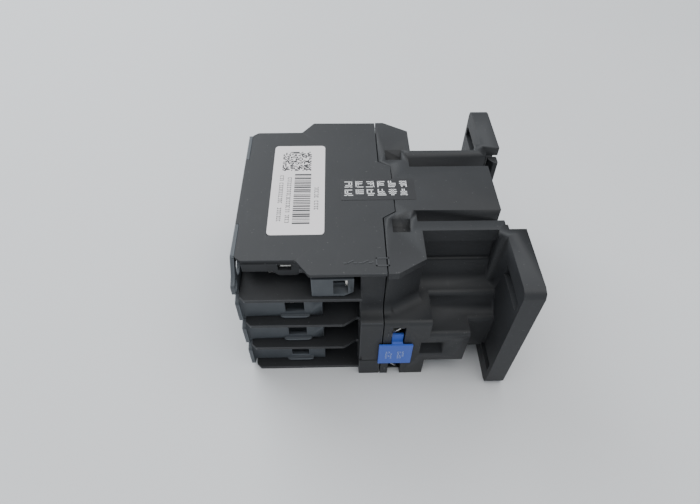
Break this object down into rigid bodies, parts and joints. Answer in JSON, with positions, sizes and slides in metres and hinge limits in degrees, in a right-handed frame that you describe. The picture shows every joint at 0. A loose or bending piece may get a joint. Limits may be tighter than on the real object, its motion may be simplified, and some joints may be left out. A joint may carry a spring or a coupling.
{
  "type": "industrial control relay",
  "caption": "Block-shaped control relay with barriered screw terminals, built-in auxiliary contacts, coil and a rail clip, lying on its side.",
  "frame": {"origin": "middle of the bottom of the bounding box, on the surface the relay lies on", "axes": "+X from the operating face to the mounting back, +Y up in use (away from the coil terminals), +Z across the width"},
  "size_m": [0.0884, 0.0844, 0.0556],
  "materials": {
    "black_plastic": "fine spark-eroded moulding texture",
    "grey_plastic": "satin moulded",
    "plated_steel": "zinc plated",
    "label_paper": "semi-gloss printed film",
    "seal_film": "satin film",
    "tag_blue": "satin moulded",
    "core_steel": "ground laminations",
    "cushion_rubber": "matte",
    "bobbin_plastic": "natural nylon",
    "copper": "enamelled copper",
    "spring_steel": "drawn wire",
    "contact_metal": "silver plated"
  },
  "bodies": {
    "housing": {"base_housing": "black_plastic", "upper_housing": "black_plastic", "front_panel": "black_plastic", "terminal_cover_near": "grey_plastic", "terminal_cover_far": "grey_plastic", "aux_box_near": "grey_plastic", "aux_box_far": "grey_plastic", "shell_screw_near": "plated_steel", "shell_screw_far": "plated_steel", "side_label": "label_paper", "seal_sticker": "seal_film", "voltage_tag": "tag_blue", "fixed_core": "core_steel", "core_cushion": "cushion_rubber", "coil_bobbin": "bobbin_plastic", "coil_winding": "copper", "shading_ring_near": "copper", "shading_ring_far": "copper", "return_spring_low": "spring_steel", "return_spring_high": "spring_steel", "rail_clip_spring": "spring_steel", "aux_spring_no": "spring_steel", "aux_spring_nc": "spring_steel", "contact_spring_1": "spring_steel", "terminal_near_1": "contact_metal", "terminal_far_1": "contact_metal", "screw_near_1": "plated_steel", "screw_far_1": "plated_steel", "contact_spring_2": "spring_steel", "terminal_near_2": "contact_metal", "terminal_far_2": "contact_metal", "screw_near_2": "plated_steel", "screw_far_2": "plated_steel", "contact_spring_3": "spring_steel", "terminal_near_3": "contact_metal", "terminal_far_3": "contact_metal", "screw_near_3": "plated_steel", "screw_far_3": "plated_steel", "aux_terminal_front_near": "contact_metal", "aux_screw_front_near": "plated_steel", "aux_terminal_rear_near": "contact_metal", "aux_screw_rear_near": "plated_steel", "aux_terminal_front_far": "contact_metal", "aux_screw_front_far": "plated_steel", "aux_terminal_rear_far": "contact_metal", "aux_screw_rear_far": "plated_steel", "coil_terminal_low": "contact_metal", "coil_screw_low": "plated_steel", "coil_terminal_high": "contact_metal", "coil_screw_high": "plated_steel"},
    "carrier": {"contact_carrier": "black_plastic", "armature": "core_steel", "armature_pin": "spring_steel"},
    "rail_clip": {"rail_clip": "black_plastic"},
    "bridge_1": {"bridge_1": "contact_metal"},
    "bridge_2": {"bridge_2": "contact_metal"},
    "bridge_3": {"bridge_3": "contact_metal"},
    "bridge_no": {"bridge_no": "contact_metal"},
    "bridge_nc": {"bridge_nc": "contact_metal"}
  },
  "joints": [
    {"name": "carrier_slide", "type": "slide", "parent": "housing", "child": "carrier", "axis": [1, 0, 0], "range_m": [0, 0.006], "stiffness_N_per_m": 500, "springref_m": -0.006, "deforming": ["return_spring_low", "return_spring_high"]},
    {"name": "bridge_1_give", "type": "slide", "parent": "carrier", "child": "bridge_1", "axis": [1, 0, 0], "range_m": [-0.0016, 0], "deforming": ["contact_spring_1"]},
    {"name": "bridge_2_give", "type": "slide", "parent": "carrier", "child": "bridge_2", "axis": [1, 0, 0], "range_m": [-0.0016, 0], "deforming": ["contact_spring_2"]},
    {"name": "bridge_3_give", "type": "slide", "parent": "carrier", "child": "bridge_3", "axis": [1, 0, 0], "range_m": [-0.0016, 0], "deforming": ["contact_spring_3"]},
    {"name": "bridge_no_give", "type": "slide", "parent": "carrier", "child": "bridge_no", "axis": [1, 0, 0], "range_m": [-0.0016, 0], "deforming": ["aux_spring_no"]},
    {"name": "bridge_nc_give", "type": "slide", "parent": "carrier", "child": "bridge_nc", "axis": [1, 0, 0], "range_m": [-0.0016, 0], "deforming": ["aux_spring_nc"]},
    {"name": "rail_clip_slide", "type": "slide", "parent": "housing", "child": "rail_clip", "axis": [0, 1, 0], "range_m": [0, 0.0035], "stiffness_N_per_m": 1200, "springref_m": -0.003, "deforming": ["rail_clip_spring"]}
  ],
  "couplings": [
    {"joint": "bridge_1_give", "follows": "carrier_slide", "ratio": -0.25},
    {"joint": "bridge_2_give", "follows": "carrier_slide", "ratio": -0.25},
    {"joint": "bridge_3_give", "follows": "carrier_slide", "ratio": -0.25},
    {"joint": "bridge_no_give", "follows": "carrier_slide", "ratio": -0.25},
    {"joint": "bridge_nc_give", "follows": "carrier_slide", "ratio": -0.25}
  ]
}
